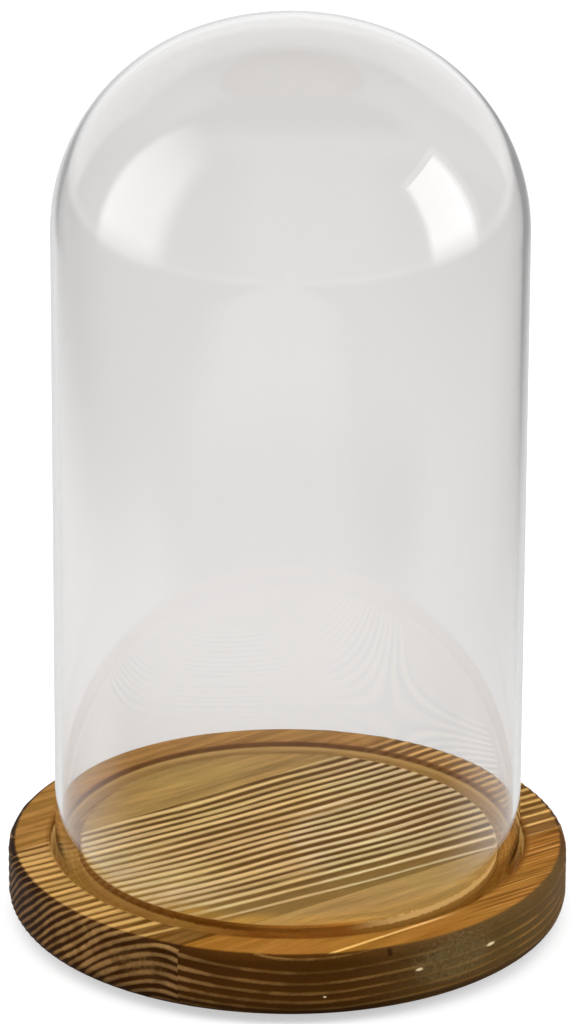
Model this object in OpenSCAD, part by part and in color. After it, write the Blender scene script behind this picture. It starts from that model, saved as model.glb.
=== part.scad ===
// Bell jar display dome: a blown glass cloche standing in the groove of a turned, edge-glued pine base.
// Millimetres. The origin is at the centre of the footprint, on the surface the object stands on; +Z is up.

/* [Glass dome] */
// Outside diameter of the glass
glass_d = 150; // [140:1:162]
// Height of the glass from rim to crown
glass_h = 279; // [200:1:400]
// Wall thickness of the glass
wall = 2.5; // [1.5:0.1:4]
// Radius of the shoulder that turns the wall into the crown
shoulder_r = 65; // [50:1:68]
// Angle that the shoulder sweeps before the flatter crown takes over
shoulder_sweep = 65; // [45:1:75]

/* [Turned base] */
// Diameter of the base
base_d = 180; // [176:1:230]
// Thickness of the glued panel that the base is turned from
base_t = 22; // [16:1:40]
// Radius of the upper edge of the rim
rim_round = 2.8; // [0.5:0.1:5]
// Radius of the lower edge of the base
foot_round = 6; // [1:0.5:9]

/* [Groove] */
// Depth of the groove below the deck
groove_depth = 5; // [3:0.5:8]
// Play between the glass and the outer wall of the groove
outer_play = 0.8; // [0.3:0.1:2]
// Width of groove floor left free inside the glass
inner_play = 4.9; // [1:0.1:8]
// Width of the lead-in bevel around the top of the groove
lead_in = 1.1; // [0.5:0.1:2]
// Width of the bevel that breaks the edge of the display deck
deck_bevel = 0.6; // [0.3:0.1:2]

/* [Glued panel] */
// Direction of the wood grain in plan, from +X towards +Y
grain_angle = 37; // [0:1:90]
// Distance from the centre to the glue line behind
back_seam = 42; // [25:1:60]
// Distance from the centre to the glue line in front
front_seam = 46; // [25:1:60]

/* [Foot pads] */
// Diameter of a felt pad
pad_d = 16; // [8:1:24]
// Thickness of a felt pad
pad_t = 2; // [1:0.5:5]
// Diameter of the circle that the pad centres lie on
pad_circle_d = 136; // [60:1:144]
// Direction of the first pad in plan
pad_angle = 37; // [0:1:90]

/* [Hidden] */
$fn = 96;
PAD_COUNT = 4;
glass_r = glass_d / 2;
base_r = base_d / 2;
deck_z = pad_t + base_t;
groove_z = deck_z - groove_depth;
groove_in_r = glass_r - wall - inner_play;
groove_out_r = glass_r + outer_play;
// The crown arc is tangent to the shoulder arc, with its centre on the axis.
shoulder_x = glass_r - shoulder_r;
crown_r = shoulder_r + shoulder_x / cos(shoulder_sweep);
crown_drop = shoulder_x * tan(shoulder_sweep);
shoulder_z = glass_h - crown_r + crown_drop;
// The rim of the glass keeps a narrow flat between its two roundings.
rim_r = wall * 3 / 8;

// Quarter of a disc in the first quadrant of `centre`, turned by `turn`.
module quarter_disc(centre, r, turn) {
    translate(centre)
        rotate(turn)
            intersection() {
                circle(r);
                square(r);
            }
}

// Sector of a disc about `centre`, between the directions `from` and `to`.
module sector(centre, r, from, to) {
    translate(centre)
        intersection() {
            circle(r);
            polygon([[0, 0], 2 * r * [cos(from), sin(from)], 2 * r * [cos(to), sin(to)]]);
        }
}

// Half of the outline of the dome, `inset` inside the outer surface and filled down to `bottom`.
// The shoulder's sector runs on a little under the crown's, which hides it.
module dome_outline(inset, bottom) {
    wall_x = glass_r - inset;
    polygon([[0, bottom], [wall_x, bottom], [wall_x, shoulder_z], [0, shoulder_z + shoulder_r / 2]]);
    sector([shoulder_x, shoulder_z], shoulder_r - inset, 0, shoulder_sweep + 2);
    sector([0, shoulder_z - crown_drop], crown_r - inset, shoulder_sweep, 90);
}

// Half of the section of the glass, with the two small roundings of its fire-polished rim.
module dome_section() {
    inner_r = glass_r - wall;
    difference() {
        dome_outline(0, rim_r);
        dome_outline(wall, 0);
    }
    translate([inner_r + rim_r, 0])
        square([wall - 2 * rim_r, rim_r]);
    quarter_disc([inner_r + rim_r, rim_r], rim_r, 180);
    quarter_disc([glass_r - rim_r, rim_r], rim_r, 270);
}

module glass_dome() {
    color("lightcyan", 0.35)
        translate([0, 0, groove_z])
            rotate_extrude()
                dome_section();
}

// Half of the turned section: sole, rounded foot edge, rounded rim, bevelled groove and level deck.
module base_section() {
    foot_x = base_r - foot_round;
    rim_x = base_r - rim_round;
    polygon([
        [0, pad_t],
        [foot_x, pad_t],
        [foot_x, pad_t + foot_round],
        [base_r, pad_t + foot_round],
        [base_r, deck_z - rim_round],
        [rim_x, deck_z - rim_round],
        [rim_x, deck_z],
        [groove_out_r + lead_in, deck_z],
        [groove_out_r, deck_z - groove_depth / 2],
        [groove_out_r, groove_z],
        [groove_in_r, groove_z],
        [groove_in_r, deck_z - deck_bevel],
        [groove_in_r - deck_bevel, deck_z],
        [0, deck_z]
    ]);
    quarter_disc([foot_x, pad_t + foot_round], foot_round, 270);
    quarter_disc([rim_x, deck_z - rim_round], rim_round, 0);
}

// The turned base between two planes that run along the grain, `from` and `to` across it.
module board(from, to) {
    rotate([0, 0, grain_angle])
        intersection() {
            rotate_extrude()
                base_section();
            translate([-base_r - 1, from, 0])
                cube([base_d + 2, to - from, deck_z + 1]);
        }
}

module base_board_back() {
    color("peru")
        board(back_seam, base_r + 1);
}

module base_board_middle() {
    color("burlywood")
        board(-front_seam, back_seam);
}

module base_board_front() {
    color("sienna")
        board(-base_r - 1, -front_seam);
}

module foot_pad(index) {
    color("dimgray")
        rotate([0, 0, pad_angle + index * 360 / PAD_COUNT])
            translate([pad_circle_d / 2, 0, 0])
                cylinder(d = pad_d, h = pad_t);
}

glass_dome();
base_board_back();
base_board_middle();
base_board_front();
foot_pad(0);  // foot_pad_1
foot_pad(1);  // foot_pad_2
foot_pad(2);  // foot_pad_3
foot_pad(3);  // foot_pad_4
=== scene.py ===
"""Looks of the bell jar dome: torched pine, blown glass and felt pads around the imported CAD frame."""
import math
import random

import bmesh
import bpy
import numpy as np
from mathutils import Matrix, Vector


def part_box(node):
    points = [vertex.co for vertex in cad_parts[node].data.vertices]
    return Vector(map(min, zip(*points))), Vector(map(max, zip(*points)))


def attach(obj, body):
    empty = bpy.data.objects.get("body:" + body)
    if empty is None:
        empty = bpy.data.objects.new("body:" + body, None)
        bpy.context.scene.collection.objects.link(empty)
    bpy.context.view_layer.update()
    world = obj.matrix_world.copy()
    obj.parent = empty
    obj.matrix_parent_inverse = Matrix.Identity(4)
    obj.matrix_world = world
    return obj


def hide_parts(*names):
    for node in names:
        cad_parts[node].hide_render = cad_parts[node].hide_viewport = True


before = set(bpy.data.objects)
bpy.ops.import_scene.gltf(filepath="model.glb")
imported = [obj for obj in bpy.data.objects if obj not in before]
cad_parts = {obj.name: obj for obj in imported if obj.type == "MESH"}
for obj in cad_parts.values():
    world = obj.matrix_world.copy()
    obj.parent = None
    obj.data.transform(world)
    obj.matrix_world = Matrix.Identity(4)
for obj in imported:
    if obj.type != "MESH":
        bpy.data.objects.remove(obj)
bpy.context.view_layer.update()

MM = 0.001

# ---------------------------------------------------------------- sizes, in millimetres


def node_box(name):
    """Lowest and highest corner of a CAD node, in millimetres."""
    low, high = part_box(name)
    return np.array(low) / MM, np.array(high) / MM


def boxes_of(names):
    """Lowest and highest corner of several CAD nodes together, in millimetres."""
    boxes = [node_box(name) for name in names]
    return np.min([b[0] for b in boxes], axis=0), np.max([b[1] for b in boxes], axis=0)


BOARDS = ("base_board_back", "base_board_middle", "base_board_front")
PADS = tuple(f"foot_pad_{i}" for i in (1, 2, 3, 4))

base_low, base_high = boxes_of(BOARDS)
glass_low, glass_high = node_box("glass_dome")

BASE_R = 90.0
SOLE_Z = base_low[2]
DECK_Z = base_high[2]
RIM_ROUND = 2.8
FOOT_ROUND = 6.0

GLASS_R = glass_high[0]
GROOVE_Z = glass_low[2]
CROWN_Z = glass_high[2]
WALL = 2.5
SHOULDER_R = 65.0
SHOULDER_SWEEP = math.radians(65)

OUTER_PLAY = 0.8
INNER_PLAY = 4.9
GROOVE_IN_R = GLASS_R - WALL - INNER_PLAY
GROOVE_OUT_R = GLASS_R + OUTER_PLAY
LEAD_IN = 1.1
DECK_BEVEL = 0.6

GRAIN = math.radians(37)
BACK_SEAM = 42.0
FRONT_SEAM = -46.0
ALONG = np.array([math.cos(GRAIN), math.sin(GRAIN), 0.0])
ACROSS = np.array([-math.sin(GRAIN), math.cos(GRAIN), 0.0])

# ---------------------------------------------------------------- node helpers


class Tree:
    """Short calls for building a node tree. Values may be sockets or numbers."""

    def __init__(self, node_tree):
        self.nodes = node_tree.nodes
        self.links = node_tree.links

    def node(self, kind, **settings):
        made = self.nodes.new(kind)
        for key, value in settings.items():
            setattr(made, key, value)
        return made

    def put(self, socket, value):
        if isinstance(value, bpy.types.NodeSocket):
            self.links.new(value, socket)
        else:
            socket.default_value = value

    def math(self, operation, *values):
        made = self.node("ShaderNodeMath", operation=operation)
        for socket, value in zip(made.inputs, values):
            self.put(socket, value)
        return made.outputs[0]

    def product(self, first, *others):
        """All the values multiplied together."""
        for value in others:
            first = self.math("MULTIPLY", first, value)
        return first

    def scaled(self, share, height, base):
        """base where share is 0, and base + height where it is 1."""
        return self.math("MULTIPLY_ADD", share, height, base)

    def step(self, value, low, high, out_low=0.0, out_high=1.0):
        """Goes smoothly from out_low at low to out_high at high."""
        made = self.node("ShaderNodeMapRange", interpolation_type="SMOOTHSTEP")
        for socket, number in zip(made.inputs, (value, low, high, out_low, out_high)):
            self.put(socket, number)
        return made.outputs[0]

    def band(self, value, low, low_full, high_full, high):
        """1 from low_full to high_full, going smoothly down to 0 at low and at high."""
        return self.product(self.step(value, low, low_full), self.step(value, high_full, high, 1.0, 0.0))

    def field(self, name):
        return self.node("ShaderNodeAttribute", attribute_name=name).outputs["Fac"]

    def split(self, vector):
        """The X, Y and Z of a vector."""
        made = self.node("ShaderNodeSeparateXYZ")
        self.put(made.inputs[0], vector)
        return made.outputs["X"], made.outputs["Y"], made.outputs["Z"]

    def vector(self, x, y, z):
        made = self.node("ShaderNodeCombineXYZ")
        for socket, value in zip(made.inputs, (x, y, z)):
            self.put(socket, value)
        return made.outputs[0]

    def noise(self, vector, scale, detail, rough, distortion=0.0):
        made = self.node("ShaderNodeTexNoise")
        self.put(made.inputs["Vector"], vector)
        self.put(made.inputs["Scale"], scale)
        self.put(made.inputs["Detail"], detail)
        self.put(made.inputs["Roughness"], rough)
        self.put(made.inputs["Distortion"], distortion)
        return made.outputs["Fac"]

    def blend(self, share, a, b, kind="MIX"):
        """Colour a where share is 0 and b where it is 1."""
        made = self.node("ShaderNodeMix", data_type="RGBA", blend_type=kind)
        self.put(made.inputs[0], share)
        for socket, value in ((made.inputs[6], a), (made.inputs[7], b)):
            self.put(socket, value if isinstance(value, bpy.types.NodeSocket) else (*value, 1))
        return made.outputs[2]

    def bump(self, shader, height, strength, distance):
        made = self.node("ShaderNodeBump")
        made.inputs["Strength"].default_value = strength
        made.inputs["Distance"].default_value = distance
        self.put(made.inputs["Height"], height)
        self.put(shader.inputs["Normal"], made.outputs[0])


PINE_BUMP, FELT_BUMP = 0.6, 0.8
BUMP_DEPTH = 0.0002


def new_material(name):
    """A new node material, its tree and its Principled shader."""
    material = bpy.data.materials.new(name)
    material.use_nodes = True
    t = Tree(material.node_tree)
    return material, t, t.nodes["Principled BSDF"]


# ---------------------------------------------------------------- camera

CAMERA_DISTANCE = 2.046
CAMERA_ELEVATION = math.radians(21.66)
CAMERA_ROLL = math.radians(0.3)
CAMERA_AIM = Vector((0.0001, 0.0, 0.1365))
FRAME_HEIGHT_PX = 1024
FOCAL_PX = 6469
SENSOR = 24.0


def make_camera():
    data = bpy.data.cameras.new("camera")
    data.sensor_fit = "VERTICAL"
    data.sensor_height = SENSOR
    data.lens = FOCAL_PX / FRAME_HEIGHT_PX * SENSOR
    data.clip_end = 20
    camera = bpy.data.objects.new("camera", data)
    bpy.context.scene.collection.objects.link(camera)
    back = Vector((0, -math.cos(CAMERA_ELEVATION), math.sin(CAMERA_ELEVATION)))
    turn = back.to_track_quat("Z", "Y").to_matrix() @ Matrix.Rotation(CAMERA_ROLL, 3, "Z")
    camera.matrix_world = Matrix.Translation(CAMERA_AIM + back * CAMERA_DISTANCE) @ turn.to_4x4()
    bpy.context.scene.camera = camera


make_camera()

# ---------------------------------------------------------------- studio, in metres

# How bright the surroundings are. The camera sees white, the glass mirrors a lit back wall in a
# dimmer room, a look straight through the glass sees plain paper, and wood is lit by soft ambient light.
PAPER = 0.82
BACK_WALL = 1.22
DIM_ROOM = 0.90
CAMERA_WHITE = 1.40
AMBIENT = 0.62
UNDER_GLASS = 1.36
ROOM_START = 0.55

# How far the back wall reaches, as tangents of the angle to its ends, and how soft its ends are.
WALL_LEFT, WALL_RIGHT, WALL_TOP = 1.12, 0.96, 0.82
WALL_END_EDGE, WALL_TOP_EDGE = 0.06, 0.04
LEAST_AHEAD = 0.05

# The floor: its paper, and the painted glow of the table that the glass mirrors, which dims beside and is
# darkened by painted shade just in front.
FLOOR_R = 6
PAPER_ALBEDO = 0.565
PAPER_LIFT, FAR_LIFT = 0.50, 1.1
LIFT_FROM, LIFT_TO = 0.6, 3.0
TABLE_LEFT, TABLE_RIGHT = 0.42, 0.25
TABLE_EDGE = 0.12
BESIDE_LEFT, BESIDE_RIGHT = 0.50, 0.43
DISTANT_FROM, DISTANT_TO = 0.9, 3.0
CLOSE, NOT_CLOSE = 0.21, 0.37
CLOSE_PAINTED_SHADE = 0.85
FRONT_FROM, FRONT_TO = -0.09, 0.01
STRAIGHT_LIFT = 0.25
STRAIGHT_FROM, STRAIGHT_TO = 1.3, 2.6

# A softbox of strength 1 looks this bright in the glass.
LAMP_RADIANCE = 0.235


def ray_kinds(t):
    """The outputs of a Light Path node, and the shares of mirrored rays and of rays that wood scattered."""
    path = t.node("ShaderNodeLightPath").outputs
    mirrored = t.math("MINIMUM", path["Glossy Depth"], 1.0)
    scattered = t.math("MINIMUM", path["Diffuse Depth"], 1.0)
    return path, mirrored, scattered


def make_world():
    """A back wall in a dimmer room for mirrored rays, paper for straight ones, white for the camera."""
    world = bpy.data.worlds.new("studio")
    bpy.context.scene.world = world
    world.use_nodes = True
    t = Tree(world.node_tree)
    t.nodes.clear()
    x, y, z = t.split(t.node("ShaderNodeTexCoord").outputs["Generated"])
    ahead = t.math("MAXIMUM", y, LEAST_AHEAD)
    aside = t.math("DIVIDE", x, ahead)
    up = t.math("DIVIDE", z, ahead)
    left_end = t.step(aside, -WALL_LEFT - WALL_END_EDGE, -WALL_LEFT)
    right_end = t.step(aside, WALL_RIGHT, WALL_RIGHT + WALL_END_EDGE, 1.0, 0.0)
    top_end = t.step(up, WALL_TOP, WALL_TOP + WALL_TOP_EDGE, BACK_WALL, 0.0)
    wall = t.product(left_end, right_end, top_end)
    room = t.step(z, 0.0, ROOM_START, PAPER, DIM_ROOM)
    path, mirrored, scattered = ray_kinds(t)
    reflected = t.product(t.math("MAXIMUM", wall, room), mirrored)
    through_glass = t.scaled(scattered, UNDER_GLASS - PAPER, PAPER)
    direct = t.scaled(path["Is Diffuse Ray"], AMBIENT - UNDER_GLASS, through_glass)
    straight = t.product(t.math("SUBTRACT", 1.0, mirrored), direct)
    seen = t.product(path["Is Camera Ray"], CAMERA_WHITE)
    background = t.node("ShaderNodeBackground")
    t.put(background.inputs["Strength"], t.math("MAXIMUM", t.math("ADD", reflected, straight), seen))
    t.put(t.node("ShaderNodeOutputWorld").inputs["Surface"], background.outputs[0])


def table_glow(t, x, y, away):
    """How bright each place of the floor looks in the glass: a painted glow, with painted shade just in
    front of the object.
    """
    left_end = t.step(x, -TABLE_LEFT - TABLE_EDGE, -TABLE_LEFT + TABLE_EDGE, BESIDE_LEFT, 1.0)
    right_end = t.step(x, TABLE_RIGHT - TABLE_EDGE, TABLE_RIGHT + TABLE_EDGE, 1.0, BESIDE_RIGHT)
    distant = t.step(away, DISTANT_FROM, DISTANT_TO)
    table = t.math("MAXIMUM", t.product(left_end, right_end), distant)
    close = t.step(away, CLOSE, NOT_CLOSE, 1.0, 0.0)
    in_front = t.step(y, FRONT_FROM, FRONT_TO, 1.0, 0.0)
    # Painted shade: the glow darkens close in front of the object.
    shade_in_front = t.scaled(t.product(close, in_front), -CLOSE_PAINTED_SHADE, 1.0)
    return t.product(table, shade_in_front, PAPER)


def make_floor():
    """Pale paper, lit by the lamps and lifted to white for the camera, and a painted glow of a table for
    mirrored rays.
    """
    bpy.ops.mesh.primitive_circle_add(vertices=96, radius=FLOOR_R, fill_type="NGON", location=(0, 0, 0))
    floor = bpy.context.object
    floor.name = "floor"
    material, t, shader = new_material("floor_paper")
    place = t.node("ShaderNodeNewGeometry").outputs["Position"]
    x, y, _ = t.split(place)
    flat = t.node("ShaderNodeVectorMath", operation="LENGTH")
    t.put(flat.inputs[0], place)
    away = flat.outputs["Value"]
    path, mirrored, scattered = ray_kinds(t)
    t.put(shader.inputs["Base Color"], t.scaled(mirrored, -PAPER_ALBEDO, PAPER_ALBEDO))
    shader.inputs["Roughness"].default_value = 0.9
    shader.inputs["Specular IOR Level"].default_value = 0.0
    shader.inputs["Emission Color"].default_value = (1, 1, 1, 1)
    turned_aside = t.math("MAXIMUM", mirrored, scattered)
    straight = t.math("MAXIMUM", t.math("SUBTRACT", path["Is Transmission Ray"], turned_aside), 0.0)
    lift = t.product(path["Is Camera Ray"], t.step(away, LIFT_FROM, LIFT_TO, PAPER_LIFT, FAR_LIFT))
    lift = t.scaled(straight, t.step(away, STRAIGHT_FROM, STRAIGHT_TO, 0.0, STRAIGHT_LIFT), lift)
    glow = t.product(mirrored, table_glow(t, x, y, away))
    t.put(shader.inputs["Emission Strength"], t.math("ADD", lift, glow))
    floor.data.materials.append(material)


OVERHEAD_PLACE = (0, 0.4, 2.6)
OVERHEAD_SIDE = 4.0
OVERHEAD_POWER = 76


def make_overhead():
    """A wide soft light above that shines down. The glass doesn't show it."""
    data = bpy.data.lights.new("overhead", "AREA")
    data.shape = "RECTANGLE"
    data.size = data.size_y = OVERHEAD_SIDE
    data.energy = OVERHEAD_POWER
    lamp = bpy.data.objects.new("overhead", data)
    bpy.context.scene.collection.objects.link(lamp)
    lamp.location = OVERHEAD_PLACE
    lamp.visible_glossy = False
    lamp.visible_transmission = False


class Softbox:
    """An upright lit panel beside the object. feather: how soft its near, far, low and high edges are."""

    def __init__(self, name, x, y_range, z_range, strength, feather):
        self.name = name
        self.x = x
        self.y_range = y_range
        self.z_range = z_range
        self.strength = strength
        self.feather = feather

    def share(self, t):
        """How brightly each place of the panel glows, from 0 to 1."""
        _, y, z = t.split(t.node("ShaderNodeNewGeometry").outputs["Position"])
        near, far, low, high = self.feather
        y_share = t.band(y, self.y_range[0], self.y_range[0] + near, self.y_range[1] - far, self.y_range[1])
        z_share = t.band(z, self.z_range[0], self.z_range[0] + low, self.z_range[1] - high, self.z_range[1])
        return t.product(y_share, z_share)

    def light_wood(self):
        """The lamp, which neither the glass nor the camera shows."""
        data = bpy.data.lights.new(self.name, "AREA")
        data.shape = "RECTANGLE"
        data.size = self.y_range[1] - self.y_range[0]
        data.size_y = self.z_range[1] - self.z_range[0]
        data.energy = self.strength * data.size * data.size_y
        data.use_nodes = True
        t = Tree(data.node_tree)
        t.put(t.nodes["Emission"].inputs["Strength"], self.share(t))
        lamp = bpy.data.objects.new(self.name, data)
        bpy.context.scene.collection.objects.link(lamp)
        centre = Vector((self.x, sum(self.y_range) / 2, sum(self.z_range) / 2))
        facing = Vector((-self.x, 0, 0)).to_track_quat("-Z", "Y").to_matrix()
        lamp.matrix_world = Matrix.Translation(centre) @ facing.to_4x4()
        lamp.visible_camera = False
        lamp.visible_glossy = False
        lamp.visible_transmission = False

    def show_in_glass(self):
        """The panel as the glass mirrors it. A straight look through the glass doesn't see it."""
        name = self.name + "_image"
        (y0, y1), (z0, z1) = self.y_range, self.z_range
        mesh = bpy.data.meshes.new(name)
        corners = [(self.x, y, z) for y, z in ((y0, z0), (y1, z0), (y1, z1), (y0, z1))]
        mesh.from_pydata(corners, [], [(0, 1, 2, 3)])
        material, t, _ = new_material(name)
        t.nodes.clear()
        _, mirrored, _ = ray_kinds(t)
        glow = t.node("ShaderNodeEmission")
        radiance = self.strength * LAMP_RADIANCE
        t.put(glow.inputs["Strength"], t.product(self.share(t), mirrored, radiance))
        both = t.node("ShaderNodeAddShader")
        t.put(both.inputs[0], glow.outputs[0])
        t.put(both.inputs[1], t.node("ShaderNodeBsdfTransparent").outputs[0])
        t.put(t.node("ShaderNodeOutputMaterial").inputs["Surface"], both.outputs[0])
        mesh.materials.append(material)
        panel = bpy.data.objects.new(name, mesh)
        bpy.context.scene.collection.objects.link(panel)
        panel.visible_camera = False
        panel.visible_diffuse = False
        panel.visible_shadow = False


SOFTBOXES = (
    Softbox("softbox_left", -1.25, (-0.85, 0.34), (0.0, 2.5), 10, (0.45, 0.12, 0.35, 1.9)),
    Softbox("softbox_right", 1.2, (-0.46, 0.17), (0.05, 1.06), 12, (0.02, 0.03, 0.3, 0.02)),
    Softbox("softbox_right_frame", 1.21, (-0.52, 0.26), (0.05, 1.16), 3, (0.01, 0.01, 0.3, 0.01)),
)

make_world()
make_floor()
make_overhead()
for softbox in SOFTBOXES:
    softbox.light_wood()
    softbox.show_in_glass()

# ---------------------------------------------------------------- wood: growth rings


def waves(s, n, terms):
    """A smooth unevenness over the panel: a sum of sines.

    Each term is (height, turns per mm along the grain, turns per mm across it, start).
    """
    total = np.zeros_like(s)
    for height, per_s, per_n, start in terms:
        total += height * np.sin(2 * math.pi * (s * per_s + n * per_n) + start)
    return total


GRAIN_WAVES = (
    (0.21, 1 / 60, 1 / 89, -0.49),
    (0.27, 1 / 64, -1 / 114, 4.79),
)
RING_RISE = 3.1
PITH = 48.85
PITH_ROUND = 10.76
PITH_BOW = 0.2405
FAN, FAN_TAPER, FAN_CURVE = 0.0643, 0.00046, 0.00027
SEASON, SEASON_WIDTH, SEASON_START = 0.09, 24.84, 0.65
MIDDLE_START = 0.869

BACK_LEAN, BACK_WAVE, BACK_CENTRE = 0.05, 1.6, 92
BACK_BOW, BACK_ROUND, BACK_RISE = 0.30, 30, 3.4
BACK_START = 0.55

FRONT_LEAN, FRONT_WAVE, FRONT_CENTRE = 0.016, 1.3, 74
FRONT_BOW, FRONT_ROUND = 0.05, 16
FRONT_RISE, FRONT_TIGHTENING = 0.19, 0.0052
FRONT_START = 0.42

FEWEST_RINGS_PER_MM = 0.10


def rings_middle(s, n, z):
    """Ring number in the middle board: its rings rise away from a pith line just inside its front edge."""
    fanned = n + (FAN - FAN_TAPER * n) * s - FAN_CURVE * s * s + waves(s, n, GRAIN_WAVES)
    bow = PITH_BOW * (np.sqrt((fanned + PITH) ** 2 + PITH_ROUND**2) - PITH_ROUND)
    season = SEASON * np.sin(2 * math.pi * fanned / SEASON_WIDTH - SEASON_START)
    return (z - DECK_Z) / RING_RISE + bow + season + MIDDLE_START


def rings_back(s, n, z):
    """Ring number in the back board, sawn nearly along its rings."""
    across = n + BACK_LEAN * s + BACK_WAVE * waves(s, n, GRAIN_WAVES) - BACK_CENTRE
    bow = BACK_BOW * (np.sqrt(across**2 + BACK_ROUND**2) - BACK_ROUND)
    return (z - DECK_Z - bow) / BACK_RISE + BACK_START


def rings_front(s, n, z):
    """Ring number in the front board, sawn along its rings, which tighten towards the sole."""
    depth = DECK_Z - z + FRONT_LEAN * s + FRONT_WAVE * waves(s, n, GRAIN_WAVES)
    bow = FRONT_BOW * (np.sqrt((n + FRONT_CENTRE) ** 2 + FRONT_ROUND**2) - FRONT_ROUND)
    return FRONT_START + FRONT_RISE * depth + FRONT_TIGHTENING * depth * np.abs(depth) + bow


RINGS = {
    "base_board_back": rings_back,
    "base_board_middle": rings_middle,
    "base_board_front": rings_front,
}
SLABS = {
    "base_board_back": (BACK_SEAM, BASE_R + 1),
    "base_board_middle": (FRONT_SEAM, BACK_SEAM),
    "base_board_front": (-BASE_R - 1, FRONT_SEAM),
}


def ramp(x, low, high):
    """Smooth step from 0 at low to 1 at high."""
    t = np.clip((x - low) / (high - low), 0, 1)
    return t * t * (3 - 2 * t)


def half_width(r):
    """Half the width of a late-wood line, in mm: wide on the deck, thin on the side."""
    return 1.0 - 0.5 * ramp(r, BASE_R - 3.0, BASE_R - 0.5)


def ridge(ring, pace, r):
    """1 on the hard late wood that the brush leaves standing, 0 in the soft early wood."""
    off_line = np.abs(ring - np.floor(ring) - 0.5) / pace
    half = half_width(r)
    return 1 - ramp(off_line, 0.6 * half, 1.4 * half)


def ring_pace(name):
    """Rings per millimetre along the surface at each point of the turned mesh."""
    step = 0.05
    slopes = []
    for axis in range(3):
        ahead, behind = GRID_PLACES.copy(), GRID_PLACES.copy()
        ahead[:, axis] += step
        behind[:, axis] -= step
        values = []
        for places in (ahead, behind):
            s, n, _, z = shape_fields(places)
            values.append(RINGS[name](s, n, z))
        slopes.append((values[0] - values[1]) / (2 * step))
    slope = np.stack(slopes, axis=1)
    along_normal = np.sum(slope * GRID_NORMALS, axis=1)
    flat = slope - GRID_NORMALS * along_normal[:, None]
    return np.maximum(np.linalg.norm(flat, axis=1), FEWEST_RINGS_PER_MM)


# ---------------------------------------------------------------- wood: turned mesh


def arc(centre_r, centre_z, radius, start, end, steps):
    angles = np.radians(np.linspace(start, end, steps + 1))
    return [(centre_r + radius * math.cos(a), centre_z + radius * math.sin(a)) for a in angles]


def base_outline():
    """Corners of the half section, from the middle of the sole round to the middle of the deck."""
    outline = [(0.0, SOLE_Z)]
    outline += arc(BASE_R - FOOT_ROUND, SOLE_Z + FOOT_ROUND, FOOT_ROUND, -90, 0, 14)
    outline += arc(BASE_R - RIM_ROUND, DECK_Z - RIM_ROUND, RIM_ROUND, 0, 90, 9)
    outline += [
        (GROOVE_OUT_R + LEAD_IN, DECK_Z),
        (GROOVE_OUT_R, (DECK_Z + GROOVE_Z) / 2),
        (GROOVE_OUT_R, GROOVE_Z),
        (GROOVE_IN_R, GROOVE_Z),
        (GROOVE_IN_R, DECK_Z - DECK_BEVEL),
        (GROOVE_IN_R - DECK_BEVEL, DECK_Z),
        (0.0, DECK_Z),
    ]
    return outline


def spaced(outline, step):
    """The outline with points no more than step(r, z) apart."""
    points = [outline[0]]
    for (r0, z0), (r1, z1) in zip(outline, outline[1:]):
        length = math.hypot(r1 - r0, z1 - z0)
        if length < 1e-6:
            continue
        count = max(1, math.ceil(length / step((r0 + r1) / 2, (z0 + z1) / 2)))
        points += [(r0 + (r1 - r0) * i / count, z0 + (z1 - z0) * i / count) for i in range(1, count + 1)]
    return points


TURNS = 840
DECK_STEP, OUTER_STEP, SOLE_STEP = 0.62, 0.5, 4.0
AXIS_R = 1e-6


def turns_at(r, z):
    """How many points a ring of the turned mesh has: fewer near the axis and under the sole."""
    if r < AXIS_R:
        return 1
    fine = TURNS if r > 33 else TURNS // 2 if r > 16 else TURNS // 4 if r > 8 else TURNS // 8
    under_sole = z < SOLE_Z + 0.01 and r < BASE_R - FOOT_ROUND - 1
    return min(fine, TURNS // 4) if under_sole else fine


def turned_grid(points):
    """Points, outward normals and faces of the surface that the half section sweeps."""
    rz = np.array(points)
    tangent = np.gradient(rz, axis=0)
    normal_rz = np.stack([tangent[:, 1], -tangent[:, 0]], axis=1)
    normal_rz /= np.linalg.norm(normal_rz, axis=1)[:, None]
    places, normals, faces, starts, counts = [], [], [], [], []
    total = 0
    for (r, z), (nr, nz) in zip(rz, normal_rz):
        count = turns_at(r, z)
        angle = 2 * math.pi * np.arange(count) / count
        places.append(np.stack([r * np.cos(angle), r * np.sin(angle), np.full(count, z)], axis=1))
        if count == 1:
            normals.append(np.array([[0.0, 0.0, math.copysign(1, nz)]]))
        else:
            normals.append(np.stack([nr * np.cos(angle), nr * np.sin(angle), np.full(count, nz)], axis=1))
        starts.append(total)
        counts.append(count)
        total += count
    for i in range(len(rz) - 1):
        faces += ring_faces(starts[i], counts[i], starts[i + 1], counts[i + 1])
    return np.concatenate(places), np.concatenate(normals), faces


def ring_faces(a, count_a, b, count_b):
    """Faces between two neighbouring rings, whose counts are equal or differ by a whole factor."""
    if count_a == 1 or count_b == 1:
        centre, first, count = (a, b, count_b) if count_a == 1 else (b, a, count_a)
        return [(centre, first + j, first + (j + 1) % count) for j in range(count)]
    if count_a == count_b:
        return [(a + j, a + (j + 1) % count_a, b + (j + 1) % count_b, b + j) for j in range(count_a)]
    few, few_count, many, many_count = a, count_a, b, count_b
    if count_b < count_a:
        few, few_count, many, many_count = b, count_b, a, count_a
    factor = many_count // few_count
    faces = []
    for j in range(few_count):
        near, far = few + j, few + (j + 1) % few_count
        outer = [many + (j * factor + k) % many_count for k in range(factor + 1)]
        half = factor // 2
        faces += [(near, outer[k], outer[k + 1]) for k in range(half)]
        faces += [(near, outer[half], far)]
        faces += [(far, outer[k], outer[k + 1]) for k in range(half, factor)]
    return faces


def wood_step(r, z):
    """Spacing of the turned mesh's rings, in mm: finest from the groove outwards, wide under the sole."""
    if z < SOLE_Z + 0.01:
        return SOLE_STEP
    return OUTER_STEP if r > GROOVE_IN_R - 2 else DECK_STEP


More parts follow.
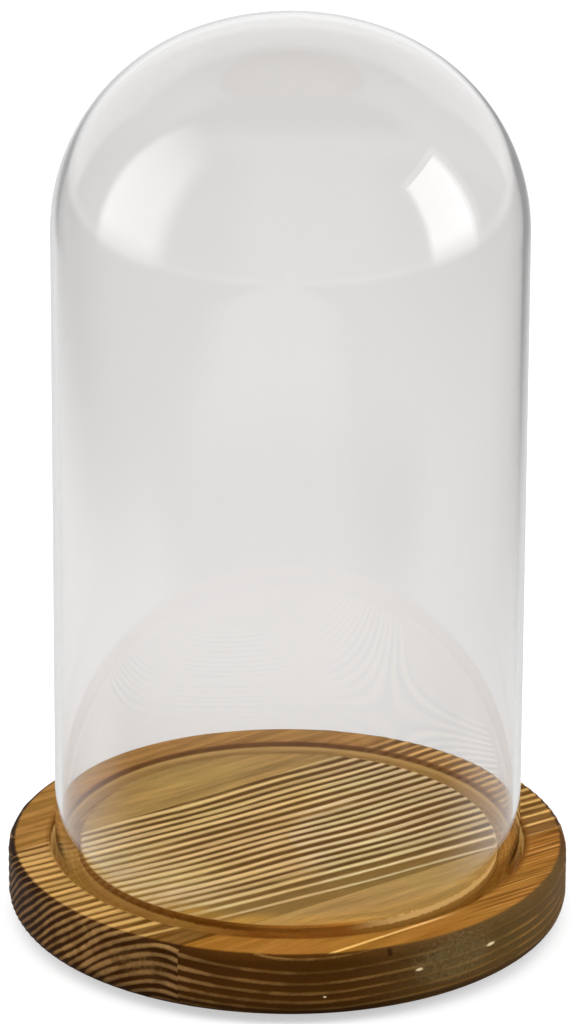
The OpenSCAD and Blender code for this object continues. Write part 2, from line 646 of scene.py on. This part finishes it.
def shape_fields(places):
    """Where each point lies in the panel: along and across the grain, radius and height."""
    s = places @ ALONG
    n = places @ ACROSS
    r = np.hypot(places[:, 0], places[:, 1])
    return s, n, r, places[:, 2]


DECK_DEPTH, SIDE_DEEPER = 0.10, 0.06
GROOVE_LESS, SOLE_LESS = 0.6, 0.8


def brushed_depth(r, z):
    """How deep the brush cut the soft wood, in mm: most on the side, least under the sole."""
    outside_groove = ramp(r, GROOVE_OUT_R, GROOVE_OUT_R + 1.5)
    in_groove = ramp(r, GROOVE_IN_R - 0.3, GROOVE_IN_R + 0.3) * (1 - outside_groove)
    side = ramp(r, BASE_R - 2.5, BASE_R - 0.5)
    sole = 1 - ramp(z, SOLE_Z, SOLE_Z + 3)
    return (DECK_DEPTH + SIDE_DEEPER * side) * (1 - GROOVE_LESS * in_groove) * (1 - SOLE_LESS * sole)


def make_board(name, material):
    """One board: the turned surface, with this board's rings brushed in, cut at its glue lines."""
    low, high = SLABS[name]
    s, n, r, z = shape_fields(GRID_PLACES)
    ring = RINGS[name](s, n, z)
    pace = ring_pace(name)
    depth = brushed_depth(r, z) * (1 - ridge(ring, pace, r))
    places = GRID_PLACES - GRID_NORMALS * depth[:, None]
    near = (n > low - 2) & (n < high + 2)
    kept = [f for f in GRID_FACES if any(near[i] for i in f)]
    used = sorted({i for f in kept for i in f})
    new_index = {old: new for new, old in enumerate(used)}
    mesh = bpy.data.meshes.new(name)
    faces = [tuple(new_index[i] for i in f) for f in kept]
    mesh.from_pydata((places[used] * MM).tolist(), [], faces)
    for field, values in (("ring", ring), ("pace", pace), ("along", s), ("across", n)):
        layer = mesh.attributes.new(field, "FLOAT", "POINT")
        layer.data.foreach_set("value", values[used].astype(np.float32))
    cut_at_seams(mesh, low, high)
    mesh.materials.append(material)
    board = bpy.data.objects.new(name.replace("base_", "pine_"), mesh)
    bpy.context.scene.collection.objects.link(board)
    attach(board, "base")
    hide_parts(name)


SHARP = math.radians(38)


def cut_at_seams(mesh, low, high):
    """Trims the mesh to the slab between two planes across the grain, and closes the cuts."""
    bm = bmesh.new()
    bm.from_mesh(mesh)
    for distance, outwards in ((low, -1), (high, 1)):
        if abs(distance) > BASE_R:
            continue
        found = bmesh.ops.bisect_plane(
            bm,
            geom=bm.verts[:] + bm.edges[:] + bm.faces[:],
            plane_co=Vector(ACROSS) * distance * MM,
            plane_no=Vector(ACROSS) * outwards,
            clear_outer=True,
        )
        rim = [e for e in found["geom_cut"] if isinstance(e, bmesh.types.BMEdge)]
        bmesh.ops.triangle_fill(bm, use_beauty=True, use_dissolve=False, edges=rim)
    bmesh.ops.recalc_face_normals(bm, faces=bm.faces[:])
    for face in bm.faces:
        face.smooth = True
    bm.to_mesh(mesh)
    bm.free()
    mesh.set_sharp_from_angle(angle=SHARP)


# ---------------------------------------------------------------- wood: material

PALETTES = {
    "base_board_back": {
        "deck": ((0.30, 0.178, 0.046), (0.50, 0.305, 0.100)),
        "rim": ((0.225, 0.100, 0.015), (0.44, 0.230, 0.065)),
        "groove": ((0.31, 0.150, 0.032), (0.52, 0.285, 0.082)),
        "side": ((0.045, 0.014, 0.001), (0.24, 0.120, 0.034)),
        "line": 0.25,
    },
    "base_board_middle": {
        "deck": ((0.118, 0.049, 0.001), (0.94, 0.655, 0.305)),
        "rim": ((0.112, 0.040, 0.001), (0.72, 0.425, 0.150)),
        "groove": ((0.320, 0.145, 0.016), (0.62, 0.355, 0.095)),
        "side": ((0.038, 0.011, 0.0004), (0.38, 0.210, 0.080)),
        "line": 1.0,
    },
    "base_board_front": {
        "deck": ((0.33, 0.195, 0.055), (0.52, 0.320, 0.110)),
        "rim": ((0.270, 0.108, 0.012), (0.42, 0.190, 0.036)),
        "groove": ((0.22, 0.078, 0.006), (0.43, 0.200, 0.037)),
        "side": ((0.072, 0.0255, 0.002), (0.235, 0.120, 0.034)),
        "line": 0.55,
    },
}
PALE_VALLEY = (0.40, 0.230, 0.058)
HALF_VALLEY = (0.27, 0.145, 0.026)
WIDE_VALLEY = (0.27, 0.155, 0.036)
# Burnt brown; on the plateau's edge and the groove's lip it also paints shade.
BURNT_AND_SHADE = (0.160, 0.050, 0.002)
# Charred black; at the foot of the side it also paints the shade under the base.
CHAR_AND_SHADE = (0.030, 0.011, 0.001)
TORN = (0.460, 0.150, 0.014)
GOLD = (0.58, 0.310, 0.066)
# Painted highlight along the plateau's right edge.
PAINTED_EDGE_HIGHLIGHT = (1.00, 0.660, 0.240)
SAWN_GREY = (0.185, 0.130, 0.056)
OLIVE_DARK = (0.120, 0.077, 0.027)
# Painted light on the groove's outer wall at the back.
PAINTED_LIT_WALL = (0.80, 0.51, 0.165)
CREAM = (0.80, 0.62, 0.36)
PALE_LINE = (0.98, 0.77, 0.45)
RIM_STREAK = (0.135, 0.050, 0.004)
RIM_PALE = (0.58, 0.285, 0.075)
GRAIN_LINE = (0.95, 0.56, 0.20)
# Painted shade: the side's colours at the far left, where it turns away from the light.
LEFT_SHADE_DARK = (0.008, 0.002, 0.0)
LEFT_SHADE_LIGHT = (0.20, 0.105, 0.042)
FUZZ_DARK = (0.075, 0.028, 0.003)
FUZZ_LIGHT = (0.26, 0.145, 0.045)
GRAIN_LINE_N = -77.8

# Tints that multiply the colour of the wood.
OLIVE_DRIFT = (0.92, 1.02, 0.80)
ORANGE_DRIFT = (1.10, 0.92, 0.76)
FIBRE_SHADE = (0.66, 0.57, 0.42)
HAIR_SHADE = (0.74, 0.68, 0.56)


class Spot:
    """A mark on the side: its bearing in degrees, and its depth, half length and half height in mm."""

    def __init__(self, bearing, depth, long, tall):
        self.bearing = math.radians(bearing)
        self.height = DECK_Z - depth
        self.long = long
        self.tall = tall


SAW_PATCH = Spot(-54, 8.0, 15.0, 7.0)
FUZZ_PATCH = Spot(-121, 9.0, 12.0, 5.0)
CHIPS = (Spot(-62.6, 9.0, 1.3, 0.55), Spot(-44.6, 8.0, 1.9, 0.6), Spot(-82.4, 14.2, 0.5, 0.35))
NICK = Spot(-69, 1.4, 1.0, 1.3)


class Wood:
    """The fields, in mm, that every look of a pine board is built from, and the board's node tree.

    rightward and frontward say which way a point lies from the axis, each from -1 to 1.
    Fibres and hairs are fine, streaks and long_hairs are long, patches are broad, crumbs are torn wood,
    and turned is the fine rings that the groove carries.
    """

    def __init__(self, t):
        self.t = t
        self.ring, self.pace = t.field("ring"), t.field("pace")
        self.along, self.across = t.field("along"), t.field("across")
        place = t.split(t.node("ShaderNodeTexCoord").outputs["Object"])
        x, y, z = (t.product(part, 1 / MM) for part in place)
        self.z = z
        self.radius = t.math("SQRT", t.math("MULTIPLY_ADD", x, x, t.product(y, y)))
        self.angle = t.math("ARCTAN2", y, x)
        self.rightward = t.math("DIVIDE", x, self.radius)
        self.frontward = t.math("DIVIDE", t.product(y, -1.0), self.radius)
        self.at_left = t.step(self.along, -60.0, -24.0, 1.0, 0.0)
        self.find_regions()
        self.fibres = self.grain_noise(0.07, 2.3, 5.0, 0.62)
        self.hairs = self.grain_noise(0.5, 5.0, 3.0, 0.6)
        self.streaks = self.grain_noise(0.022, 0.30, 4.0, 0.55)
        self.long_hairs = self.grain_noise(0.018, 0.75, 3.0, 0.5)
        self.patches = self.grain_noise(0.022, 0.055, 2.0, 0.5)
        self.fades = self.grain_noise(0.035, 0.16, 2.0, 0.5)
        self.crumbs = t.noise(t.vector(x, y, z), 0.9, 4.0, 0.7)
        around = t.vector(t.product(self.angle, 3.0), t.product(self.radius, 1.5), t.product(z, 1.5))
        self.turned = t.noise(around, 1.0, 3.0, 0.6)

    def find_regions(self):
        """The shares of the surface that lie outside the deck, outside the groove and on the side."""
        t = self.t
        self.outside_deck = t.step(self.radius, GROOVE_IN_R - 0.25, GROOVE_IN_R + 0.1)
        self.outside_groove = t.step(self.radius, GROOVE_OUT_R - 0.1, GROOVE_OUT_R + 0.8)
        outer = t.step(self.radius, BASE_R - 2.7, BASE_R - 1.6)
        low = t.step(self.z, GROOVE_Z - 3.0, GROOVE_Z - 1.0, 1.0, 0.0)
        self.side = t.math("MAXIMUM", outer, low)

    def grain_noise(self, per_along, per_across, detail, rough):
        """Noise drawn out along the grain. per_along and per_across are turns per mm."""
        t = self.t
        s, n = t.product(self.along, per_along), t.product(self.across, per_across)
        return t.noise(t.vector(s, n, t.product(self.z, per_across)), 1.0, detail, rough)

    def ragged(self, height):
        """An unevenness of this height, which frays an edge."""
        return self.t.product(self.t.math("SUBTRACT", self.crumbs, 0.5), height)

    def spot(self, spot, rag):
        """Share of a mark on the side, with an edge that frays by rag."""
        t = self.t
        along = t.product(t.math("SUBTRACT", self.angle, spot.bearing), BASE_R / spot.long)
        up = t.product(t.math("SUBTRACT", self.z, spot.height), 1 / spot.tall)
        reach = t.math("SQRT", t.math("MULTIPLY_ADD", along, along, t.product(up, up)))
        return t.step(t.math("ADD", reach, self.ragged(rag)), 0.55, 1.25, 1.0, 0.0)


def late_wood(w, line_share):
    """Share of late wood at each place, and how far the place is from the middle of its line, in rings."""
    t = w.t
    uneven = t.product(t.math("SUBTRACT", w.fibres, 0.5), 0.08)
    phase = t.math("ADD", w.ring, uneven)
    off_middle = t.math("ABSOLUTE", t.math("SUBTRACT", t.math("FRACT", phase), 0.5))
    thin_on_side = t.scaled(w.side, -0.58, 1.0)
    worn = t.step(w.fades, 0.3, 0.7, 0.80, 1.15)
    wide_at_left = t.scaled(w.at_left, 0.25, 1.0)
    bold = t.product(t.band(w.rightward, -0.86, -0.66, -0.42, -0.20), w.side)
    thin_if_far_apart = t.step(w.pace, 0.12, 0.21, 0.66, 1.0)
    half = t.product(thin_on_side, worn, wide_at_left, t.scaled(bold, 0.38, 1.0), thin_if_far_apart)
    reach = t.math("DIVIDE", t.math("DIVIDE", off_middle, w.pace), half)
    own = t.node("ShaderNodeTexWhiteNoise", noise_dimensions="1D")
    t.put(own.inputs["W"], t.math("FLOOR", phase))
    strength = t.scaled(own.outputs["Value"], 0.30, 0.70)
    streaky = t.step(w.streaks, 0.25, 0.62, 0.70, 1.0)
    fading = t.step(w.rightward, -0.55, 0.15, 0.25, 1.1 - 0.85 * line_share)
    lost = t.product(t.step(w.fades, 0.40, 0.58, 1.0, 0.0), fading)
    faded = t.math("SUBTRACT", 1.0, t.product(w.side, lost))
    return t.product(t.step(reach, 0.35, 1.60, 1.0, 0.0), strength, streaky, faded), off_middle


def striped_deck(w, palette, line, off_middle):
    """Light lines between early wood that is pale at the left, browner where rings are far apart."""
    t = w.t
    pale = t.math("MAXIMUM", t.product(w.at_left, 0.75), t.step(w.fades, 0.52, 0.75, 0.0, 0.6))
    valley = t.blend(t.step(off_middle, 0.20, 0.36), HALF_VALLEY, palette["deck"][0])
    valley = t.blend(t.product(pale, 0.8), valley, PALE_VALLEY)
    valley = t.blend(t.step(w.pace, 0.13, 0.215, 0.85, 0.0), valley, WIDE_VALLEY)
    paler = t.math("MAXIMUM", t.step(w.rightward, 0.05, 0.55), t.product(w.at_left, 0.7))
    return t.blend(line, valley, t.blend(paler, palette["deck"][1], PALE_LINE))


def cloudy_deck(w, palette, weak):
    """The nearly plain deck of a flat-sawn board."""
    t = w.t
    long, broad = t.step(w.streaks, 0.30, 0.70, 0.0, 0.65), t.step(w.patches, 0.35, 0.65, 0.0, 0.35)
    return t.blend(t.math("MAXIMUM", t.math("ADD", long, broad), weak), *palette["deck"])


def gilded(w, wood):
    """A golden front to the deck."""
    t = w.t
    near_edge = t.step(w.radius, GROOVE_IN_R - 12.0, GROOVE_IN_R - 2.0)
    in_front = t.step(w.frontward, 0.60, 0.95)
    return t.blend(t.product(near_edge, in_front, t.step(w.fades, 0.35, 0.6, 0.25, 0.8)), wood, GOLD)


def rim_wood(w, palette, weak, is_front):
    """The rim. On the front board it is streaked at the right, and one golden grain line crosses it."""
    t = w.t
    filled = 0.90 - 0.75 * palette["line"]
    rim = t.blend(t.math("MAXIMUM", weak, t.step(w.streaks, 0.36, 0.66, 0.0, filled)), *palette["rim"])
    if not is_front:
        return rim
    at_right = t.step(w.rightward, 0.60, 0.90)
    rim = t.blend(t.product(at_right, t.step(w.long_hairs, 0.30, 0.50, 0.9, 0.0)), rim, RIM_PALE)
    rim = t.blend(t.product(at_right, t.step(w.long_hairs, 0.50, 0.62, 0.0, 0.95)), rim, RIM_STREAK)
    off_line = t.math("ABSOLUTE", t.math("SUBTRACT", w.across, GRAIN_LINE_N))
    grain_line = t.product(t.step(off_line, 0.10, 1.00, 0.8, 0.0), t.step(w.along, -6.0, 14.0, 1.0, 0.0))
    return t.blend(grain_line, rim, GRAIN_LINE)


def side_wood(w, palette, line, is_front):
    """The turned side: darker at the far left as painted shade, darkest at the foot as char with painted
    shade, olive at the right of the front board.
    """
    t = w.t
    dark, light = palette["side"]
    # Painted shade: the side darkens towards the far left.
    far_left_shade = t.step(w.rightward, -0.95, -0.74, 1.0, 0.0)
    dark = t.blend(t.product(far_left_shade, 0.85), dark, LEFT_SHADE_DARK)
    light = t.blend(far_left_shade, light, LEFT_SHADE_LIGHT)
    if is_front:
        neighbour = PALETTES["base_board_middle"]["side"]
        near_seam = t.step(w.rightward, -0.52, -0.10, 1.0, 0.0)
        dark = t.blend(t.product(near_seam, 0.7), dark, neighbour[0])
        light = t.blend(t.product(near_seam, 0.8), light, neighbour[1])
        olive = t.product(t.step(w.rightward, 0.15, 0.70, 0.0, 0.65), t.step(w.frontward, -0.10, 0.30))
        dark = t.blend(olive, dark, OLIVE_DARK)
    # Char and painted shade: the side darkens towards the sole.
    foot = t.step(w.z, SOLE_Z + 0.5, SOLE_Z + 7.5, 0.70, 0.0)
    return t.blend(foot, t.blend(line, dark, light), CHAR_AND_SHADE)


def drifting(w, wood):
    """Hue drifts between olive and orange, and fibres and hairs darken it finely."""
    t = w.t
    wood = t.blend(t.step(w.patches, 0.35, 0.65, 0.0, 0.5), wood, OLIVE_DRIFT, "MULTIPLY")
    wood = t.blend(t.step(w.streaks, 0.40, 0.75, 0.0, 0.40), wood, ORANGE_DRIFT, "MULTIPLY")
    wood = t.blend(t.step(w.fibres, 0.42, 0.70, 0.0, 0.65), wood, FIBRE_SHADE, "MULTIPLY")
    return t.blend(t.step(w.hairs, 0.45, 0.72, 0.0, 0.50), wood, HAIR_SHADE, "MULTIPLY")


def plateau_edge(w, wood):
    """The plateau's edge: darkened at its top on the left by painted shade, torn and reddish in front, gold
    with a pale ridge on the right as painted highlight.
    """
    t = w.t
    wall = t.band(w.radius, GROOVE_IN_R - 1.5, GROOVE_IN_R - 0.5, GROOVE_IN_R + 0.2, GROOVE_IN_R + 0.5)
    seen = t.product(wall, t.step(w.frontward, -0.25, 0.15))
    level = t.math("ADD", w.z, w.ragged(1.6))
    top = t.product(t.step(level, DECK_Z - 2.6, DECK_Z - 1.7), t.step(w.rightward, -0.30, 0.0, 1.0, 0.45))
    not_right = t.step(w.rightward, 0.02, 0.30, 1.0, 0.0)
    middle = t.band(w.rightward, -0.50, -0.12, 0.20, 0.50)
    on_right_highlight = t.step(w.rightward, 0.25, 0.50)
    ridge = t.band(level, DECK_Z - 2.9, DECK_Z - 2.3, DECK_Z - 0.9, DECK_Z - 0.3)
    wood = t.blend(t.product(seen, not_right, 0.5), wood, GOLD)
    wood = t.blend(t.product(seen, middle, t.step(w.crumbs, 0.34, 0.60, 1.0, 0.55), 0.95), wood, TORN)
    # Painted shade: the top of the wall is darkened on the left, less towards the middle.
    wood = t.blend(t.product(seen, not_right, top), wood, BURNT_AND_SHADE)
    # Painted highlight: gold on the right, and a pale line along its ridge.
    wood = t.blend(t.product(seen, on_right_highlight, 0.55), wood, GOLD)
    return t.blend(t.product(seen, on_right_highlight, ridge), wood, PAINTED_EDGE_HIGHLIGHT)


def groove_lips(w, wood):
    """The groove's outer wall is painted pale at the back as painted light, under a lip that is burnt and,
    at the back and right, darkened by painted shade; on the left the lip is lightened as painted light.
    """
    t = w.t
    # Painted light: the back of the outer wall, which the lamps barely reach, gets a pale colour in place
    # of light.
    at_back = t.step(w.frontward, -0.25, 0.25, 1.0, 0.0)
    wall = t.band(w.radius, GROOVE_OUT_R - 0.3, GROOVE_OUT_R - 0.1, GROOVE_OUT_R + 0.4, GROOVE_OUT_R + 0.8)
    wall = t.product(wall, t.step(w.z, DECK_Z - 1.6, DECK_Z - 0.9, 1.0, 0.0), at_back)
    wood = t.blend(t.product(wall, 0.85), wood, PAINTED_LIT_WALL)
    # The lip is a little burnt all round; at the back and right painted shade darkens it further.
    lip = t.band(w.radius, GROOVE_OUT_R - 0.1, GROOVE_OUT_R + 0.4, GROOVE_OUT_R + 1.3, GROOVE_OUT_R + 2.8)
    lip = t.product(lip, t.step(w.z, DECK_Z - 1.7, DECK_Z - 1.0))
    lip_shade_share = t.math("MAXIMUM", at_back, t.step(w.rightward, 0.78, 0.95))
    wood = t.blend(t.product(lip, t.scaled(lip_shade_share, 0.55, 0.20)), wood, BURNT_AND_SHADE)
    # Painted light: the thin lip on the left is lightened gold where its wall faces the light.
    on_left = t.product(t.step(w.rightward, -0.75, -0.40, 1.0, 0.0), t.step(w.frontward, -0.1, 0.2))
    thin = t.step(w.radius, GROOVE_OUT_R + 0.6, GROOVE_OUT_R + 1.2, 1.0, 0.0)
    return t.blend(t.product(lip, thin, on_left, 0.8), wood, GOLD)


def front_marks(w, wood):
    """Marks on the side of the front board: a grey sawn patch, cream chips and a nick in the rim."""
    t = w.t
    outer = t.step(w.radius, BASE_R - 2.4, BASE_R - 1.6)
    worn = t.blend(t.step(w.crumbs, 0.40, 0.60), SAWN_GREY, OLIVE_DARK)
    wood = t.blend(t.product(w.spot(SAW_PATCH, 1.5), outer, 0.50), wood, worn)
    for chip in CHIPS:
        wood = t.blend(t.product(w.spot(chip, 0.6), outer), wood, CREAM)
    return t.blend(t.product(w.spot(NICK, 0.75), outer, 0.9), wood, CHAR_AND_SHADE)


def middle_marks(w, wood):
    """Torn fuzz on the side of the middle board."""
    t = w.t
    outer = t.step(w.radius, BASE_R - 2.4, BASE_R - 1.6)
    grains = t.blend(t.step(w.crumbs, 0.44, 0.60), FUZZ_DARK, FUZZ_LIGHT)
    return t.blend(t.product(w.spot(FUZZ_PATCH, 1.5), outer, 0.25), wood, grains)


def pine(name, palette):
    """Torched, brushed and oiled pine: light lines between browner early wood, in each region's colours."""
    material, t, shader = new_material(name)
    w = Wood(t)
    is_front, is_middle = name.endswith("front"), name.endswith("middle")
    line, off_middle = late_wood(w, palette["line"])
    weak = t.product(line, palette["line"])
    wood = striped_deck(w, palette, line, off_middle) if is_middle else cloudy_deck(w, palette, weak)
    wood = gilded(w, wood)
    turned_line = t.math("MAXIMUM", t.product(weak, 0.7), t.step(w.turned, 0.38, 0.66, 0.0, 0.8))
    wood = t.blend(w.outside_deck, wood, t.blend(turned_line, *palette["groove"]))
    wood = t.blend(w.outside_groove, wood, rim_wood(w, palette, weak, is_front))
    wood = t.blend(w.side, wood, side_wood(w, palette, line, is_front))
    wood = groove_lips(w, plateau_edge(w, drifting(w, wood)))
    if is_front:
        wood = front_marks(w, wood)
    if is_middle:
        wood = middle_marks(w, wood)
    t.put(shader.inputs["Base Color"], wood)
    t.put(shader.inputs["Roughness"], t.scaled(w.fibres, 0.20, 0.50))
    shader.inputs["Specular IOR Level"].default_value = 0.04
    in_groove = t.math("SUBTRACT", w.outside_deck, w.outside_groove)
    height = t.scaled(w.fibres, 0.8, t.product(line, 0.5))
    height = t.scaled(w.hairs, 0.4, height)
    height = t.scaled(t.product(t.math("ADD", w.turned, w.crumbs), in_groove), 1.2, height)
    t.bump(shader, height, PINE_BUMP, BUMP_DEPTH)
    return material


GRID_PLACES, GRID_NORMALS, GRID_FACES = turned_grid(spaced(base_outline(), wood_step))
LOOKS = {board: pine(board.replace("base_board", "pine"), PALETTES[board]) for board in BOARDS}
for board_name in BOARDS:
    make_board(board_name, LOOKS[board_name])

# ---------------------------------------------------------------- closed shells


def ring_mesh(name, rings):
    """A closed smooth mesh through rings of points in mm. A ring of one point closes an end."""
    faces = []
    start = 0
    for ring, following in zip(rings, rings[1:]):
        faces += ring_faces(start, len(ring), start + len(ring), len(following))
        start += len(ring)
    mesh = bpy.data.meshes.new(name)
    mesh.from_pydata((np.concatenate(rings) * MM).tolist(), [], faces)
    bm = bmesh.new()
    bm.from_mesh(mesh)
    bmesh.ops.recalc_face_normals(bm, faces=bm.faces[:])
    for face in bm.faces:
        face.smooth = True
    bm.to_mesh(mesh)
    bm.free()
    return mesh


def circle(r, z, angle):
    """Points around the axis at height z, at a radius that may differ from angle to angle."""
    return np.stack([r * np.cos(angle), r * np.sin(angle), np.full(len(angle), z)], axis=1)


# ---------------------------------------------------------------- glass dome

GLASS_TURNS = 256
OUTER_INSET, INNER_INSET = 0.16, -0.05
OUTER_WAVER, INNER_WAVER = 0.35, 1.0
CALM_R = 40


def dome_outline(inset):
    """The glass surface that lies inset inside the outer one, from the wall up to the crown."""
    shoulder_x = GLASS_R - SHOULDER_R
    crown_r = SHOULDER_R + shoulder_x / math.cos(SHOULDER_SWEEP)
    drop = shoulder_x * math.tan(SHOULDER_SWEEP)
    shoulder_z = CROWN_Z - crown_r + drop
    sweep = math.degrees(SHOULDER_SWEEP)
    points = arc(shoulder_x, shoulder_z, SHOULDER_R - inset, 0, sweep, 40)
    points += arc(0, shoulder_z - drop, crown_r - inset, sweep, 90, 26)[1:]
    points[-1] = (0.0, points[-1][1])
    return points


def glass_profile():
    """Closed half section: from the crown down outside, round the rim and up inside to the crown."""
    rim_r = WALL / 2
    outside = dome_outline(0)[::-1]
    inside = dome_outline(WALL)
    rim = arc(GLASS_R - rim_r, GROOVE_Z + rim_r, rim_r, 0, -180, 12)
    wall_top, wall_foot = outside[-1][1], GROOVE_Z + rim_r
    heights = np.linspace(wall_top, wall_foot, 90)[1:-1]
    down = [(GLASS_R, z) for z in heights]
    up = [(GLASS_R - WALL, z) for z in heights[::-1]]
    return outside + down + rim + up + inside


def blown_radius(r, z, angle, inner):
    """Radius of the glass round one height. Above the rim the wall is thinner and wavers a little."""
    waver = 0.06 * np.sin(2 * angle + z / 60 + 1.0) + 0.02 * np.sin(3 * angle - z / 80 + 2.0)
    above_rim = ramp(np.array(z), GROOVE_Z + 1, GROOVE_Z + 12)
    inset, share = (INNER_INSET, INNER_WAVER) if inner else (OUTER_INSET, OUTER_WAVER)
    return r - inset * above_rim + waver * above_rim * share * min(1, r / CALM_R)


def make_glass():
    """The blown shell."""
    profile = glass_profile()
    angle = 2 * math.pi * np.arange(GLASS_TURNS) / GLASS_TURNS
    rings = []
    for index, (r, z) in enumerate(profile):
        if r < AXIS_R:
            rings.append(np.array([[0.0, 0.0, z]]))
            continue
        inner = index > len(profile) / 2
        rings.append(circle(blown_radius(r, z, angle, inner), z, angle))
    mesh = ring_mesh("glass_shell", rings)
    mesh.materials.append(glass_material())
    shell = bpy.data.objects.new("glass_shell", mesh)
    bpy.context.scene.collection.objects.link(shell)
    shell.visible_shadow = False
    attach(shell, "dome")
    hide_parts("glass_dome")


def glass_material():
    """Clear soda-lime glass with the faintest warm tint."""
    material, _, shader = new_material("blown_glass")
    shader.inputs["Base Color"].default_value = (0.985, 0.975, 0.97, 1)
    shader.inputs["Transmission Weight"].default_value = 1.0
    shader.inputs["Roughness"].default_value = 0.0
    shader.inputs["IOR"].default_value = 1.46
    return material


make_glass()

# ---------------------------------------------------------------- felt pads

FELT_DARK, FELT_LIGHT = (0.030, 0.026, 0.022), (0.13, 0.115, 0.10)
FELT_SHADE = (0.55, 0.5, 0.45)
PAD_TURNS = 72
PAD_EDGE = 0.55
PAD_INSET = 0.12
WAIST_SHARE, TOP_INSET = 0.6, 0.15
FUZZ_WAVES = ((0.05, 9), (0.04, 17), (0.03, 31))


def felt_material():
    """Pressed wool felt: fine fibres over soft clumps."""
    material, t, shader = new_material("pressed_felt")
    place = t.node("ShaderNodeTexCoord").outputs["Object"]
    hairs = t.noise(place, 2600, 6.0, 0.7, 1.2)
    clumps = t.noise(place, 420, 3.0, 0.5, 0.4)
    colour = t.blend(t.step(hairs, 0.35, 0.7), FELT_DARK, FELT_LIGHT)
    colour = t.blend(t.product(clumps, 0.6), colour, FELT_SHADE, "MULTIPLY")
    t.put(shader.inputs["Base Color"], colour)
    shader.inputs["Roughness"].default_value = 0.95
    shader.inputs["Sheen Weight"].default_value = 0.4
    shader.inputs["Sheen Roughness"].default_value = 0.6
    t.bump(shader, hairs, FELT_BUMP, BUMP_DEPTH)
    return material


def pad_profile(radius, bottom, top):
    """Half section of a pad, from the middle of its underside round to the middle of its top."""
    points = [(radius * k / 8, bottom) for k in range(8)]
    points += arc(radius - PAD_EDGE, bottom + PAD_EDGE, PAD_EDGE, -90, 0, 5)
    points += [(radius, bottom + (top - bottom) * WAIST_SHARE), (radius - TOP_INSET, top)]
    return points + [(radius * k / 5, top) for k in range(4, -1, -1)]


def make_pad(name, material, seed):
    """A punched felt disc: a soft, slightly uneven edge and a flat back against the wood."""
    low, high = node_box(name)
    centre = (low + high) / 2
    radius = (high[0] - low[0]) / 2
    rng = random.Random(seed)
    starts = [rng.uniform(0, 6.28) for _ in FUZZ_WAVES]
    angle = 2 * math.pi * np.arange(PAD_TURNS) / PAD_TURNS
    fuzz = sum(height * np.sin(turns * angle + start) for (height, turns), start in zip(FUZZ_WAVES, starts))
    to_place = np.array([centre[0], centre[1], 0.0])
    rings = []
    for r, z in pad_profile(radius, low[2], high[2]):
        if r < AXIS_R:
            rings.append(np.array([[0.0, 0.0, z]]) + to_place)
            continue
        real_r = max(r - PAD_INSET, 0) + fuzz * (r / radius) ** 4
        rings.append(circle(real_r, z, angle) + to_place)
    mesh = ring_mesh(name, rings)
    mesh.materials.append(material)
    pad = bpy.data.objects.new(name.replace("foot", "felt"), mesh)
    bpy.context.scene.collection.objects.link(pad)
    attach(pad, "base")
    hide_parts(name)


FELT = felt_material()
for pad_index, pad_name in enumerate(PADS):
    make_pad(pad_name, FELT, pad_index)

# ---------------------------------------------------------------- colour management

bpy.context.scene.view_settings.view_transform = "Standard"
